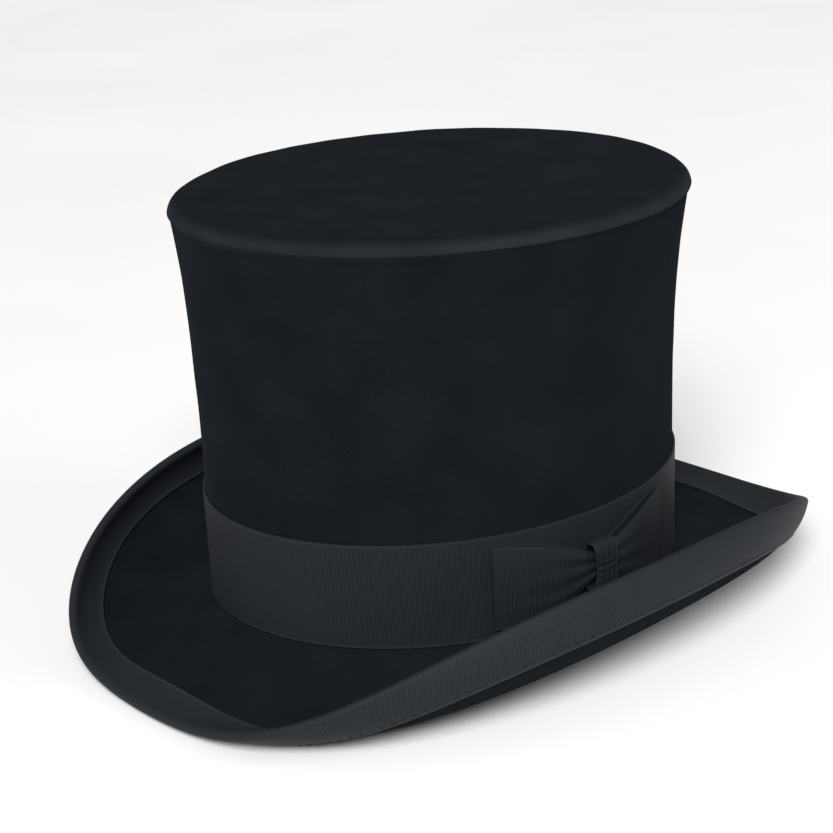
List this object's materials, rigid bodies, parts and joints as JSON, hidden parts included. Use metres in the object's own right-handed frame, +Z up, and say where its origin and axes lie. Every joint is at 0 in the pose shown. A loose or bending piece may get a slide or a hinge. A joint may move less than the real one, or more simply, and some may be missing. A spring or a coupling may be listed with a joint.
{
  "type": "top hat",
  "caption": "Black felt top hat with a bell crown, side-curled bound brim, ribbon band with a flat side bow, leather sweatband and satin lining.",
  "frame": {"origin": "on the ground under the middle of the hat, where the dipped front and back of the brim stand", "axes": "+Z up along the crown, -Y to the front of the hat, +X to the wearer's left, where the bow is"},
  "size_m": [0.2634, 0.3288, 0.1835],
  "materials": {
    "felt": "matte wool felt",
    "binding_ribbon": "ribbed grosgrain, low sheen",
    "band_ribbon": "ribbed grosgrain, low sheen",
    "thread": "matte thread",
    "leather": "smooth semi-matte leather",
    "reed": "matte",
    "satin_ribbon": "satin ribbon",
    "label": "woven label tape, blank",
    "satin": "satin, soft sheen"
  },
  "bodies": {
    "root": {"crown_felt": "felt", "brim_felt": "felt", "brim_binding": "binding_ribbon", "binding_stitches": "thread", "hat_band": "band_ribbon", "bow_front_wing": "band_ribbon", "bow_back_wing": "band_ribbon", "bow_knot": "band_ribbon", "sweatband": "leather", "sweatband_reed": "reed", "sweatband_stitches": "thread", "sweatband_back_bow": "satin_ribbon", "size_tag": "label", "lining_side": "satin", "lining_tip": "satin"}
  },
  "joints": []
}
